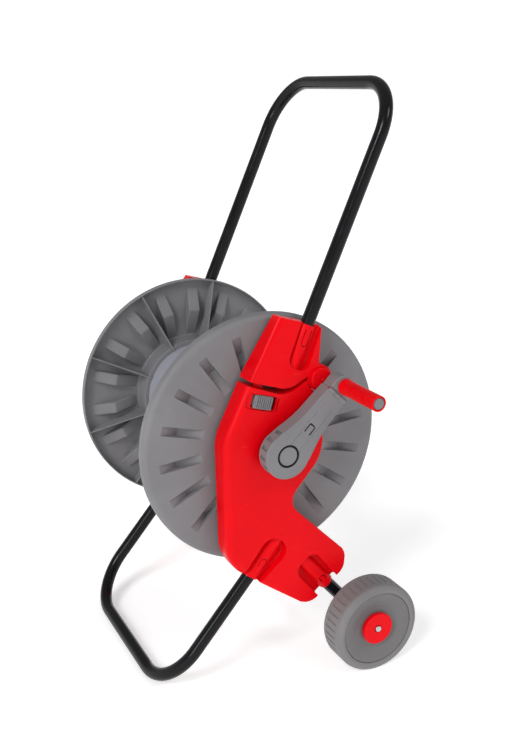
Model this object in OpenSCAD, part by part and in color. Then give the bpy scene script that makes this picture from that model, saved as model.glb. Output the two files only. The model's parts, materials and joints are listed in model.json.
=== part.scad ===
// Garden hose reel cart: a reel with a folding crank between two moulded side frames,
// carried on a tube stand, a folding tube handle and two wheels.
// +X is the rear (wheels), -Y the crank side, +Z up; the origin is on the ground below the reel axis.

/* [Reel] */
// Height of the reel axis above the ground
reel_h = 373; // [366:1:380]
// Radius of each reel flange
flange_r = 190; // [180:1:192]
// Distance from the middle plane to the outer face of a flange
flange_y = 147.5; // [144:0.5:148]
// Depth of a flange's rim, turned in towards the drum
rim_depth = 16; // [12:1:20]
// Wall of the moulded flange
flange_wall = 2.5; // [2:0.5:3]
// Outer radius of the drum that the hose is wound on
drum_r = 84; // [80:1:86]
// Radius of the collar on a flange that holds the drum
collar_r = 91; // [90:1:93]
// Radial pockets pressed into a flange
pocket_count = 18; // [12:6:18]
// Width of a radial pocket
pocket_w = 14; // [10:1:16]
// Depth of a radial pocket at its middle
pocket_depth = 12; // [8:1:14]

/* [Frame] */
// Distance from the middle plane to the inner face of a side frame
frame_in = 155; // [154:0.5:156]
// Distance from the middle plane to the outer face of a side frame
frame_out = 186; // [186:0.5:188]
// Wall of the moulded side frames and brackets
wall = 3; // [2.5:0.5:3.5]
// Radius of the hinge lugs between frame and handle bracket
lug_r = 19; // [18:0.5:19.5]

/* [Tubes] */
// Outer radius of the steel tubes
tube_r = 10; // [9:0.5:10]
// Wall of the steel tubes
tube_wall = 1.5; // [1:0.1:2]
// Distance from the middle plane to the tubes
tube_y = 170; // [169:0.5:171]
// Bend radius of stand and handle
bend_r = 78; // [70:1:85]
// Lean of the handle from the vertical, in degrees
handle_lean = 23.6; // [22:0.1:25]
// Lean of the stand from the vertical, in degrees
stand_lean = 40.3; // [39:0.1:42]
// Lean of the wheel legs from the vertical, in degrees
leg_lean = 41.6; // [41:0.1:42.5]

/* [Wheels] */
// Radius of a wheel, which is also the height of its axle
wheel_r = 72; // [71:0.5:73]
// Width of a wheel
wheel_w = 50; // [44:1:50]
// Distance of the axle behind the reel axis
axle_x = 146; // [144:1:148]
// Radius of the axle rod
axle_r = 5; // [4:0.5:6]
// Grooves around a tyre
groove_count = 40; // [24:2:48]

/* [Crank] */
// Distance from the reel axis to the grip
crank_reach = 127; // [120:1:130]
// Angle of the crank above the horizontal, in degrees
crank_angle = 45.6; // [40:0.1:50]
// Distance from the middle plane to the crank's outer face
crank_out = 220; // [219:1:224]
// Length of the grip
grip_len = 86; // [75:1:90]

/* [Latch] */
// Travel of a latch slider
latch_travel = 6; // [4:0.5:7]

/* [Fits] */
// Radial clearance between a shaft and its bearing
fit = 0.05; // [0.03:0.01:0.08]
// Gap between two pieces that move past each other
gap = 0.4; // [0.3:0.1:0.6]

/* [Hidden] */
$fn = 64;
red = [0.88, 0.02, 0.05];
grey = [0.55, 0.55, 0.56];
dark = [0.42, 0.42, 0.44];
black = [0.06, 0.06, 0.06];
steel = [0.62, 0.62, 0.63];

// Outline of a side frame about the reel axis: [x, z, corner radius]
frame_corners = [
    [-46.5, 99.5, 5], [-84, 20, 70], [-79, -172, 60], [58, -269, 24], [119, -219, 20], [121, -190, 22],
    [18, -89, 25], [82, -16, 60], [62, 70, 10], [52, 98, 6], [15, 76.5, 35]
];
// Outline of a handle bracket about the reel axis
bracket_corners = [[9, 190, 6], [-44, 106, 4], [18, 85.5, 35], [54, 104.5, 4], [66, 112, 4], [75, 171, 9]];
hinge_x = 68;
hinge_z = 97;
lug_mid = 172;
lug_clear = 1;
hinge_pin_r = 4;
hinge_head_r = 16;
hinge_head_h = 6;
bracket_slope = 5.7;

// Sockets for the tubes: [u, v, radius] about a tube's own line, v counted from its free end
handle_pocket = [[-14, 325, 0], [14, 325, 0], [15, 423, 14], [-15, 423, 14]];
stand_pocket = [[-17, 176, 0], [9, 176, 0], [26, 284, 22], [-23, 284, 22]];
leg_pocket = [[-24, 70, 0], [18, 70, 0], [21, 149, 17], [-23, 149, 17]];
handle_root = [198, 502];
stand_root = [-176, tube_r - reel_h];
leg_root = [axle_x, wheel_r - reel_h];
handle_end = 414;
stand_end = 272;
leg_end = 138;
pocket_floor = 172;
sleeve_r = 13;

hub_hole_r = 24;
bush_r = 17;
stub_r = bush_r - fit;
bush_flange_r = 28;
screw_r = 2;
screw_tip = 168;
screw_spots = [[-60, 50], [-62, -130], [28, -228], [95, -195]];
bracket_screw_spots = [[-6, 140], [6, 171]];
lug_web = [[40, 70], [60, 72], [66, 84], [52, 94], [40, 88]];

latch_x = -23;
latch_z = 73;
latch_tilt = 16;
tongue_y = 166;
tongue_t = 4;
tongue_in = 84;
tongue_out = 98;
spring_at = 17 + latch_travel + 0.5;
spring_len = 6;
spring_r = 2.5;

crank_in = 197;
hub_r = 34.5;
arm_end = 111;
arm_half = 18.5;
ring_r = 17;
grip_r = 12.5;
spindle_r = 4;
rivet_y = crank_out + 2;
fold_pin_r = 2.5;

wheel_out = 247;
wheel_in = wheel_out - wheel_w;
disc_r = 58.5;
wheel_hub_r = 14;
cap_r = 25.5;

inlet_y = 196;
inlet_r = 11;
inlet_reach = 46;
spout_r = 6;
spout_at = 96;

function unit(v) = v / norm(v);
function flat(p) = [p[0], p[1]];
// Points of one rounded corner p between its neighbours a and b
function corner(p, a, b, r, n) =
    let (
        u = unit(a - p),
        v = unit(b - p),
        half = acos(u * v) / 2,
        c = p + unit(u + v) * r / sin(half),
        s = p + u * r / tan(half) - c,
        e = p + v * r / tan(half) - c,
        from = atan2(s[1], s[0]),
        turn = atan2(s[0] * e[1] - s[1] * e[0], s * e)
    )
    [for (i = [0:n]) c + r * [cos(from + turn * i / n), sin(from + turn * i / n)]];
// A closed outline with each corner rounded to its own radius
function rounded(q) =
    let (m = len(q))
    [
        for (i = [0:m - 1])
            let (p = flat(q[i]), a = flat(q[(i + m - 1) % m]), b = flat(q[(i + 1) % m]))
            each (q[i][2] > 0 ? corner(p, a, b, q[i][2], q[i][2] > 20 ? 8 : 5) : [p])
    ];
// The same outline drawn in by d; its points run anticlockwise
function inset(o, d) =
    let (m = len(o))
    [
        for (i = [0:m - 1])
            let (t = unit(o[(i + 1) % m] - o[(i + m - 1) % m]))
            o[i] + d * [-t[1], t[0]]
    ];

frame_outline = rounded(frame_corners);
frame_hollow = inset(frame_outline, wall);
bracket_outline = rounded(bracket_corners);
bracket_hollow = inset(bracket_outline, wall);

// An outline in X and Z about the reel axis, as a plate between two distances along Y
module plate(y0, y1) {
    translate([0, y1, reel_h]) rotate([90, 0, 0]) linear_extrude(y1 - y0) children();
}
// A round rod along Y at a place about the reel axis
module rod(r, y0, y1, x = 0, z = 0) {
    translate([x, y0, reel_h + z]) rotate([-90, 0, 0]) cylinder(r = r, h = y1 - y0);
}
// A shape about Y: its profile gives radius and distance along Y
module turned(x = 0, z = 0) {
    translate([x, 0, reel_h + z]) rotate([-90, 0, 0]) rotate_extrude() children();
}
module near() {
    mirror([0, 1, 0]) children();
}
module both() {
    children();
    mirror([0, 1, 0]) children();
}
// Outlines drawn about a tube's own line, and shapes that run along it
module on_line(root, lean) {
    translate(root) rotate(-lean) children();
}
module along(root, lean) {
    translate([root[0], 0, reel_h + root[1]]) rotate([0, lean, 0]) children();
}
module straight(root, lean, r, v0, v1) {
    along(root, lean) translate([0, tube_y, v0]) cylinder(r = r, h = v1 - v0);
}

// A socket for a tube: a pocket in the outer face with a sleeve across its floor
module socket_solid(root, lean, pocket, end, outline) {
    intersection() {
        union() {
            plate(pocket_floor - 2.5, frame_out)
                on_line(root, lean) polygon(inset(rounded(pocket), -2.5));
            straight(root, lean, sleeve_r, pocket[0][1], end + 3);
        }
        plate(frame_in + wall, frame_out) polygon(outline);
    }
}
module socket_cut(root, lean, pocket) {
    plate(pocket_floor, frame_out + 1) on_line(root, lean) polygon(rounded(pocket));
}
module socket_sleeve(root, lean, pocket, end, outline) {
    intersection() {
        straight(root, lean, sleeve_r, pocket[0][1], end + 3);
        plate(frame_in + wall, frame_out) polygon(outline);
    }
}
module screw_posts(spots) {
    for (s = spots) rod(5, frame_in + wall, frame_out - 1, s[0], s[1]);
}
module screw_holes(spots) {
    for (s = spots) rod(screw_r + fit, frame_in - 3, screw_tip + 1, s[0], s[1]);
}
module screws(spots) {
    for (s = spots) {
        rod(screw_r, frame_in - 2.5, screw_tip, s[0], s[1]);
        rod(3.6, frame_in - 4.1, frame_in - 2.5, s[0], s[1]);
    }
}
// The latch tongue bends about the hinge, so it leaves its slot as the handle folds
module tongue(r0, r1, z0, y0, y1) {
    plate(y0, y1)
    intersection() {
        difference() {
            translate([hinge_x, hinge_z]) circle(r1);
            translate([hinge_x, hinge_z]) circle(r0);
        }
        translate([-60, z0]) square([70, 120 - z0]);
    }
}
module latch_box(l, h, y0, y1, at = 0) {
    plate(y0, y1) translate([latch_x, latch_z]) rotate(-latch_tilt) translate([at, 0]) square([l, h], center = true);
}

// Moulded shell, open on its inner side, with sockets, hub seat, hinge lug and latch window
module side_frame() {
    color(red)
    difference() {
        union() {
            difference() {
                plate(frame_in, frame_out) polygon(frame_outline);
                plate(frame_in - 1, frame_out - wall) polygon(frame_hollow);
                socket_cut(stand_root, stand_lean, stand_pocket);
                socket_cut(leg_root, -leg_lean, leg_pocket);
            }
            difference() {
                socket_solid(stand_root, stand_lean, stand_pocket, stand_end, frame_outline);
                socket_cut(stand_root, stand_lean, stand_pocket);
            }
            difference() {
                socket_solid(leg_root, -leg_lean, leg_pocket, leg_end, frame_outline);
                socket_cut(leg_root, -leg_lean, leg_pocket);
            }
            socket_sleeve(stand_root, stand_lean, stand_pocket, stand_end, frame_outline);
            socket_sleeve(leg_root, -leg_lean, leg_pocket, leg_end, frame_outline);
            rod(hub_hole_r + wall, frame_in + wall, frame_out - 1);
            latch_box(68, 28, frame_out - 6, frame_out - 1, 4);
            latch_box(3, 12, tongue_y + tongue_t + 4, frame_out - 5, spring_at + spring_len + 2);
            screw_posts(screw_spots);
        }
        screw_holes(screw_spots);
        straight(stand_root, stand_lean, tube_r + fit, 100, stand_end);
        straight(leg_root, -leg_lean, tube_r + fit, 0, leg_end);
        rod(hub_hole_r, frame_in - 1, frame_out + 1);
        rod(lug_r + lug_clear, lug_mid, frame_out + 1, hinge_x, hinge_z);
        rod(lug_r + lug_clear, frame_in - 1, frame_in + wall + gap, hinge_x, hinge_z);
        latch_box(51, 22, frame_out - 3, frame_out + 1);
        latch_box(30 + latch_travel, 9, frame_out - 7, frame_out, -1 + latch_travel / 2);
        tongue(tongue_in - 2, tongue_out + 2, 58, tongue_y - 1.5, tongue_y + tongue_t + 1.5);
    }
    color(red)
    difference() {
        union() {
            rod(lug_r, frame_in + wall + gap, lug_mid - gap / 2, hinge_x, hinge_z);
            plate(frame_in + wall + gap, lug_mid - gap / 2) polygon(lug_web);
        }
        rod(hinge_pin_r + fit, frame_in - 1, frame_out + 1, hinge_x, hinge_z);
    }
}
module frame_cover() {
    color(red)
    difference() {
        plate(frame_in - 2.5, frame_in) polygon(frame_outline);
        rod(hub_hole_r, frame_in - 3, frame_in + 1);
        rod(lug_r + lug_clear, frame_in - 3, frame_in + 1, hinge_x, hinge_z);
        screw_holes(screw_spots);
    }
}
module frame_screws() {
    color(steel) both() screws(screw_spots);
}
module reel_bush() {
    color(black)
    difference() {
        union() {
            rod(hub_hole_r - fit, frame_in - 3, frame_out + 2);
            rod(bush_flange_r, frame_in - 5, frame_in - 2.5);
        }
        rod(bush_r, frame_in - 6, frame_out + 3);
    }
}

// A tube bent into a U across the cart, drawn with its crossbar on the ground of its own frame
module u_solid(r, end) {
    both() {
        translate([0, tube_y, bend_r]) cylinder(r = r, h = end - bend_r);
        translate([0, tube_y - bend_r, bend_r]) rotate([0, 90, 0])
            rotate_extrude(angle = 90) translate([bend_r, 0]) circle(r, $fn = 32);
    }
    translate([0, bend_r - tube_y, 0]) rotate([-90, 0, 0]) cylinder(r = r, h = 2 * (tube_y - bend_r));
}
module u_tube(root, lean, end) {
    color(black)
    along(root, lean)
    difference() {
        u_solid(tube_r, end);
        u_solid(tube_r - tube_wall, end + 1);
    }
}
module stand_tube() {
    u_tube(stand_root, stand_lean, stand_end);
}
module leg() {
    color(black)
    difference() {
        straight(leg_root, -leg_lean, tube_r, -tube_r, leg_end);
        straight(leg_root, -leg_lean, tube_r - tube_wall, -tube_r + tube_wall, leg_end + 1);
        rod(axle_r + fit, tube_y - 15, tube_y + 15, leg_root[0], leg_root[1]);
    }
}
module axle_rod() {
    color(steel) rod(axle_r, -wheel_out - 0.5, wheel_out + 0.5, leg_root[0], leg_root[1]);
}
module axle_spacers() {
    color(black)
    both()
    difference() {
        rod(9, tube_y + tube_r + 0.1, wheel_in - 14.5, leg_root[0], leg_root[1]);
        rod(axle_r + fit, tube_y, wheel_in, leg_root[0], leg_root[1]);
    }
}

// A coil spring along X, swept from a ring of points
module coil(r, wire, len, turns) {
    sides = 6;
    steps = turns * 12;
    points = [
        for (i = [0:steps]) for (j = [0:sides - 1])
            let (a = 360 * i / 12, b = 360 * j / sides, q = r + wire * cos(b))
            [len * i / steps + wire * sin(b), q * cos(a), q * sin(a)]
    ];
    walls = [
        for (i = [0:steps - 1]) for (j = [0:sides - 1])
            let (k = (j + 1) % sides)
            [i * sides + j, i * sides + k, (i + 1) * sides + k, (i + 1) * sides + j]
    ];
    ends = [[for (j = [sides - 1:-1:0]) j], [for (j = [0:sides - 1]) steps * sides + j]];
    polyhedron(points, concat(walls, ends));
}
module latch_spring() {
    color(steel)
    translate([latch_x, tongue_y + tongue_t + 7, reel_h + latch_z]) rotate([0, latch_tilt, 0])
        translate([spring_at, 0, 0]) coil(spring_r, 0.45, spring_len, 4);
}
module latch_slider() {
    color(grey)
    union() {
        latch_box(34, 15, frame_out - 11, frame_out - 6.4);
        latch_box(28, 8, frame_out - 7, frame_out - 2);
        latch_box(29, 19.5, frame_out - 2.6, frame_out + 3.5);
        plate(tongue_y, frame_out - 10) translate([-10.2, 68]) square([4, 8]);
    }
}

// Everything inside the bracket's sloping outer face, set in by d
module behind_face(d) {
    translate([-200, frame_out - d, reel_h + 110]) rotate([bracket_slope, 0, 0])
        translate([0, -300, -160]) cube([500, 300, 400]);
}
module bracket() {
    color(red)
    difference() {
        union() {
            intersection() {
                difference() {
                    union() {
                        difference() {
                            plate(frame_in, frame_out) polygon(bracket_outline);
                            intersection() {
                                plate(frame_in - 1, frame_out) polygon(bracket_hollow);
                                behind_face(wall);
                            }
                        }
                        socket_solid(handle_root, 180 + handle_lean, handle_pocket, handle_end, bracket_outline);
                        screw_posts(bracket_screw_spots);
                    }
                    socket_cut(handle_root, 180 + handle_lean, handle_pocket);
                }
                behind_face(0);
            }
            socket_sleeve(handle_root, 180 + handle_lean, handle_pocket, handle_end, bracket_outline);
            rod(lug_r, lug_mid + gap / 2, frame_out, hinge_x, hinge_z);
            difference() {
                tongue(tongue_in, tongue_out, 62, tongue_y, tongue_y + tongue_t);
                plate(tongue_y - 1, tongue_y + tongue_t + 1) translate([-15, 67]) square([12, 10]);
            }
            tongue(tongue_in, tongue_out, 110, tongue_y, frame_out - 1);
        }
        straight(handle_root, 180 + handle_lean, tube_r + fit, 250, handle_end);
        screw_holes(bracket_screw_spots);
        rod(lug_r + lug_clear, frame_in - 1, lug_mid + gap / 2, hinge_x, hinge_z);
        rod(hinge_pin_r + fit, frame_in, frame_out + 1, hinge_x, hinge_z);
    }
}
module bracket_cover() {
    color(red)
    difference() {
        plate(frame_in - 2.5, frame_in) polygon(bracket_outline);
        rod(lug_r + lug_clear, frame_in - 3, frame_in + 1, hinge_x, hinge_z);
        screw_holes(bracket_screw_spots);
    }
}
module bracket_screws() {
    color(steel) both() screws(bracket_screw_spots);
}
module handle_tube() {
    u_tube(handle_root, 180 + handle_lean, handle_end);
}
module hinge_pin() {
    color(red)
    union() {
        rod(hinge_pin_r, frame_in - 1, frame_out + 1, hinge_x, hinge_z);
        rod(hinge_head_r, frame_out, frame_out + hinge_head_h, hinge_x, hinge_z);
    }
}

// A pan turned in towards the drum, with radial pockets pressed into its face and fins behind it
module radial(a) {
    translate([0, 0, reel_h]) rotate([0, -a, 0]) children();
}
module wedge(w, depth, r0, r1, y) {
    translate([0, 0, -w / 2]) linear_extrude(w)
        polygon([[r0, y], [(r0 + r1) / 2 + 4, y - depth], [r1, y]]);
}
module flange() {
    back = flange_y - flange_wall;
    round_r = 8;
    edge_x = flange_r - round_r;
    edge_y = flange_y - round_r;
    inner_r = round_r - flange_wall;
    color(grey)
    difference() {
        union() {
            turned() polygon(concat(
                [[stub_r + 3, flange_y]],
                [for (a = [90:-15:0]) [edge_x + round_r * cos(a), edge_y + round_r * sin(a)]],
                [[flange_r, flange_y - rim_depth], [flange_r - flange_wall, flange_y - rim_depth]],
                [for (a = [0:15:90]) [edge_x + inner_r * cos(a), edge_y + inner_r * sin(a)]],
                [[stub_r + 3, back]]
            ));
            turned() translate([drum_r + fit, 112]) square([collar_r - drum_r - fit, back + 1 - 112]);
            for (i = [0:pocket_count - 1]) radial(6 + 360 / pocket_count * i)
                wedge(pocket_w + 2 * flange_wall, pocket_depth + flange_wall, 94, 173, back + 0.1);
            for (i = [0:pocket_count / 2 - 1]) radial(36 + 720 / pocket_count * i)
                translate([0, 0, -0.9]) linear_extrude(1.8) polygon([
                    [drum_r + fit + 0.5, back + 1], [drum_r + fit + 0.5, 108], [100, 112],
                    [flange_r - 2, flange_y - rim_depth + 1], [flange_r - 3, edge_y], [flange_r - 8, back + 1]
                ]);
        }
        for (i = [0:pocket_count - 1]) radial(6 + 360 / pocket_count * i)
            wedge(pocket_w, pocket_depth + flange_wall, 94.5, 171, flange_y + 2);
        for (a = [45:90:315]) rod(screw_r + fit, 140, 150, 33 * cos(a), 33 * sin(a));
    }
}
module drum() {
    color(grey)
    difference() {
        rod(drum_r, -140, 140);
        rod(drum_r - flange_wall, -141, 141);
        radial(250) translate([0, spout_at, 0]) rotate([0, 90, 0]) cylinder(r = 13, h = 120);
    }
}
module flange_screws() {
    color(steel)
    both()
    for (a = [45:90:315]) {
        rod(screw_r, 142, flange_y, 33 * cos(a), 33 * sin(a));
        rod(3.6, flange_y, flange_y + 1.6, 33 * cos(a), 33 * sin(a));
    }
}
module stub(end, bore) {
    difference() {
        union() {
            rod(40, 141, flange_y - flange_wall);
            rod(stub_r, 141, end);
        }
        rod(bore, 140, end + 1);
        for (a = [45:90:315]) rod(screw_r + fit, 140, 150, 33 * cos(a), 33 * sin(a));
    }
}
module drive_stub() {
    color(grey) stub(crank_out - 6, 4 + fit);
}
module water_stub() {
    color(grey) stub(inlet_y - 1, inlet_r);
}
// Water runs from the inlet through the stub to the spout in the drum's wall
module drum_pipe() {
    color(grey)
    difference() {
        union() {
            rod(14, spout_at - 14, 141);
            radial(250) translate([0, spout_at, 0]) rotate([0, 90, 0]) cylinder(r = 10, h = 70);
        }
        rod(spout_r, spout_at - 8, 142);
        radial(250) translate([0, spout_at, 0]) rotate([0, 90, 0]) cylinder(r = spout_r, h = 71);
    }
}
module hose_spout() {
    color(grey)
    radial(250) translate([0, spout_at, 0]) rotate([0, 90, 0])
    difference() {
        union() {
            translate([0, 0, 70]) cylinder(r = 12.9, h = 18);
            translate([0, 0, 88]) cylinder(r = 8.5, h = 24);
        }
        translate([0, 0, 69]) cylinder(r = spout_r, h = 50);
    }
}

// The crank lies along its own X axis in a plate about the reel axis
module crank_plate(y0, y1) {
    plate(y0, y1) rotate(crank_angle) children();
}
module across_crank(r, w, a, y) {
    translate([0, 0, reel_h]) rotate([0, -crank_angle, 0]) translate([a, y, -w / 2]) cylinder(r = r, h = w);
}
module crank_arm() {
    color(grey)
    difference() {
        union() {
            crank_plate(crank_in, crank_out) union() {
                circle(hub_r);
                polygon([
                    [10, 33], [25, 29], [41, 24.5], [64, 21], [90, arm_half], [arm_end, arm_half],
                    [arm_end, -arm_half], [90, -arm_half], [64, -21], [41, -24.5], [25, -29], [10, -33]
                ]);
            }
            across_crank(4, 36, arm_end, crank_out - 2.5);
        }
        rod(stub_r + fit, crank_in - 1, crank_out - 6);
        rod(ring_r, crank_out - 6, crank_out + 1);
        for (a = [107:24.5:230]) crank_plate(crank_out - 19, crank_out - 4)
            rotate(a - crank_angle) translate([hub_r, 0]) square([7, 6], center = true);
        across_crank(4 + gap, 13, arm_end, crank_out - 2.5);
        across_crank(fold_pin_r + fit, 40, arm_end, crank_out - 2.5);
    }
}
module crank_ring() {
    color(black)
    difference() {
        rod(ring_r - fit, crank_out - 6, crank_out + 0.4);
        rod(ring_r - 3, crank_out - 7, crank_out + 1);
    }
}
module crank_cap() {
    color(grey) rod(ring_r - 3 - fit, crank_out - 2.5, crank_out);
}
module crank_bolt() {
    color(steel)
    union() {
        rod(4, crank_out - 50, crank_out - 5);
        rod(8, crank_out - 6, crank_out - 2.8);
    }
}
module crank_end() {
    color(grey)
    difference() {
        union() {
            difference() {
                crank_plate(crank_in + 3, rivet_y) polygon(rounded([
                    [arm_end + gap, -arm_half, 0], [crank_reach + 14, -arm_half, 16],
                    [crank_reach + 14, arm_half, 16], [arm_end + gap, arm_half, 0]
                ]));
                crank_plate(crank_out - 2.5, crank_out + 5) translate([arm_end - 5, -20]) square([8.2, 40]);
                across_crank(4 + gap, 60, arm_end, crank_out - 2.5);
            }
            across_crank(4, 12, arm_end, crank_out - 2.5);
            crank_plate(crank_out - 5, crank_out - 2) translate([arm_end, -6]) square([8, 12]);
        }
        across_crank(fold_pin_r + fit, 40, arm_end, crank_out - 2.5);
        crank_plate(crank_in, rivet_y + 1) translate([crank_reach, 0]) circle(spindle_r + fit);
    }
}
module crank_fold_pin() {
    color(steel) across_crank(fold_pin_r, 36, arm_end, crank_out - 2.5);
}
module grip_spindle() {
    color(steel)
    union() {
        crank_plate(crank_in + 6, rivet_y + grip_len - 3) translate([crank_reach, 0]) circle(spindle_r);
        crank_plate(crank_in + 3, crank_in + 6) translate([crank_reach, 0]) circle(spindle_r);
    }
}
module crank_grip() {
    x = crank_reach * cos(crank_angle);
    z = crank_reach * sin(crank_angle);
    y = rivet_y + gap;
    color(red)
    turned(x, z) polygon([
        [spindle_r + fit, y], [grip_r, y], [grip_r, y + 6], [grip_r - 1, y + 20], [grip_r - 1, y + grip_len - 1],
        [grip_r - 2, y + grip_len], [9, y + grip_len], [9, y + grip_len - 3.6], [spindle_r + fit, y + grip_len - 3.6]
    ]);
}
module grip_cap() {
    y = rivet_y + grip_len;
    color(grey) crank_plate(y - 3, y) translate([crank_reach, 0]) circle(8);
}

// Swivelling water inlet on the far side
module inlet_elbow() {
    color(dark)
    translate([0, 0, reel_h])
    difference() {
        union() {
            translate([0, inlet_y - 32, 0]) rotate([-90, 0, 0]) cylinder(r = inlet_r - fit, h = 34);
            translate([0, inlet_y, 0]) rotate([-90, 0, 0]) cylinder(r = 14, h = 20);
            translate([0, inlet_y + 20, 0]) sphere(r = 14);
            translate([0, inlet_y + 20, -inlet_reach + 10]) cylinder(r = 14, h = inlet_reach - 10);
        }
        translate([0, inlet_y - 33, 0]) rotate([-90, 0, 0]) cylinder(r = spout_r, h = 53);
        translate([0, inlet_y + 20, -inlet_reach]) cylinder(r = spout_r, h = inlet_reach);
        for (d = [24, 16]) translate([0, inlet_y - d, 0]) rotate([-90, 0, 0]) difference() {
            cylinder(r = inlet_r + 1, h = 3);
            translate([0, 0, -1]) cylinder(r = 8.4, h = 5);
        }
    }
}
module inlet_seals() {
    color(black)
    for (d = [22.5, 14.5]) translate([0, inlet_y - d, reel_h]) rotate([-90, 0, 0])
        rotate_extrude() translate([inlet_r - fit - 1.25, 0]) circle(1.25, $fn = 24);
}
module inlet_nut() {
    color(dark)
    difference() {
        rod(23, frame_out + 2.4, inlet_y - 0.6);
        rod(stub_r + fit, frame_out + 2, inlet_y);
        for (a = [0:30:330]) rod(2, frame_out, inlet_y, 23.6 * cos(a), 23.6 * sin(a));
    }
}
module inlet_tail() {
    color(dark)
    translate([0, inlet_y + 20, reel_h - inlet_reach - 26])
    difference() {
        union() {
            cylinder(r = 7, h = 3);
            translate([0, 0, 3]) cylinder(r = 8.5, h = 12);
            translate([0, 0, 15]) cylinder(r = 7, h = 4);
            translate([0, 0, 19]) cylinder(r = 8.5, h = 5);
            translate([0, 0, 24]) cylinder(r = 16, h = 12);
        }
        translate([0, 0, -1]) cylinder(r = spout_r, h = 60);
    }
}

// Wheels: a tyre on a dished disc, with a cap pressed on the axle's end
module tyre() {
    shoulder = 9;
    color(grey)
    difference() {
        turned(leg_root[0], leg_root[1]) polygon(concat(
            [[disc_r, wheel_in + 3], [wheel_r - shoulder, wheel_in]],
            [for (a = [-90:15:0]) [wheel_r - shoulder + shoulder * cos(a), wheel_in + shoulder + shoulder * sin(a)]],
            [for (a = [0:15:90]) [wheel_r - shoulder + shoulder * cos(a), wheel_out - shoulder + shoulder * sin(a)]],
            [[disc_r, wheel_out - 2]]
        ));
        for (i = [0:groove_count - 1]) translate([leg_root[0], 0, reel_h + leg_root[1]])
            rotate([0, 360 / groove_count * i, 0]) translate([wheel_r, (wheel_in + wheel_out) / 2, 0])
            rotate([0, 45, 0]) cube([1.6, 26, 1.6], center = true);
    }
}
module wheel_disc() {
    color(dark)
    difference() {
        turned(leg_root[0], leg_root[1]) polygon([
            [axle_r + fit, wheel_in - 14], [wheel_hub_r, wheel_in - 14], [wheel_hub_r, wheel_out - 16],
            [cap_r + 5, wheel_out - 13], [disc_r - 5, wheel_out - 8], [disc_r - 5, wheel_in + 4],
            [disc_r - 0.1, wheel_in + 4], [disc_r - 0.1, wheel_out - 5], [disc_r - 2, wheel_out - 3],
            [disc_r - 10, wheel_out - 4.5], [cap_r + 5, wheel_out - 9.5], [cap_r, wheel_out - 10], [axle_r + fit, wheel_out - 10]
        ]);
        rod(axle_r + fit, wheel_in - 15, wheel_out, leg_root[0], leg_root[1]);
    }
}
module hub_cap() {
    color(red)
    difference() {
        turned(leg_root[0], leg_root[1]) polygon([
            [axle_r + fit, wheel_out - 10], [cap_r - 2, wheel_out - 10], [cap_r, wheel_out - 6],
            [cap_r, wheel_out - 2], [cap_r - 1.5, wheel_out - 1], [axle_r + fit, wheel_out - 1]
        ]);
        rod(7, wheel_out - 11, wheel_out - 7, leg_root[0], leg_root[1]);
    }
}

near() side_frame();  // side_frame_near
side_frame();  // side_frame_far
near() frame_cover();  // frame_cover_near
frame_cover();  // frame_cover_far
frame_screws();
near() reel_bush();  // reel_bush_near
reel_bush();  // reel_bush_far
stand_tube();
near() leg();  // leg_near
leg();  // leg_far
axle_rod();
axle_spacers();
near() latch_spring();  // latch_spring_near
latch_spring();  // latch_spring_far
near() latch_slider();  // latch_slider_near
latch_slider();  // latch_slider_far
near() bracket();  // bracket_near
bracket();  // bracket_far
near() bracket_cover();  // bracket_cover_near
bracket_cover();  // bracket_cover_far
bracket_screws();
handle_tube();
near() hinge_pin();  // hinge_pin_near
hinge_pin();  // hinge_pin_far
near() flange();  // flange_near
flange();  // flange_far
drum();
flange_screws();
near() drive_stub();
water_stub();
drum_pipe();
hose_spout();
near() crank_arm();
near() crank_ring();
near() crank_cap();
near() crank_bolt();
near() crank_end();
near() crank_fold_pin();
near() grip_spindle();
near() crank_grip();
near() grip_cap();
inlet_elbow();
inlet_seals();
inlet_nut();
inlet_tail();
near() tyre();  // tyre_near
tyre();  // tyre_far
near() wheel_disc();  // wheel_disc_near
wheel_disc();  // wheel_disc_far
near() hub_cap();  // hub_cap_near
hub_cap();  // hub_cap_far
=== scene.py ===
import json
import math

import bpy
from mathutils import Matrix, Vector


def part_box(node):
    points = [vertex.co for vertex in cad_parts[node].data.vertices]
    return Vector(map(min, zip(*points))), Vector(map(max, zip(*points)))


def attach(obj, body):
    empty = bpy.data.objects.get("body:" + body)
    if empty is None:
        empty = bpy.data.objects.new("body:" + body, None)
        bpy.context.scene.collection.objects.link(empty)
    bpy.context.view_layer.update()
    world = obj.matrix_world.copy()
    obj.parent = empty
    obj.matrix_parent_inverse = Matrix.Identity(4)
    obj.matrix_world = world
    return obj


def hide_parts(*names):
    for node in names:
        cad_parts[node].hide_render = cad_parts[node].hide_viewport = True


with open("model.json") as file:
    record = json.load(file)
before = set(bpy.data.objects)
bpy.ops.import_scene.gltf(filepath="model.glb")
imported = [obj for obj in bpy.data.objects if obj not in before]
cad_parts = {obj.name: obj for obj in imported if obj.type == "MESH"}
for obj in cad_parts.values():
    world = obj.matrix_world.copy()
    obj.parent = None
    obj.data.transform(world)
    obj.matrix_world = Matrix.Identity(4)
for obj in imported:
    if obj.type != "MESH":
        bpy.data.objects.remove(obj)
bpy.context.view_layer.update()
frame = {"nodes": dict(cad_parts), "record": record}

# Garden hose reel cart. Helpers take millimetres about the reel axis and place them in the frame, in metres.
# Pieces of the two sides are modelled on the far side, +Y, and mirrored to the near side.
MM = 0.001
RECORD = frame["record"]
BODY = {node: body for body, nodes in RECORD["behaviour"]["bodies"].items() for node in nodes}
REEL_Z = sum(corner[2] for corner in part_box("drum")) / 2


def reach(node):
    """How far a node of the far side reaches along Y: its inner and outer distance from the middle."""
    low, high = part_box(node)
    return low[1] / MM, high[1] / MM


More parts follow.
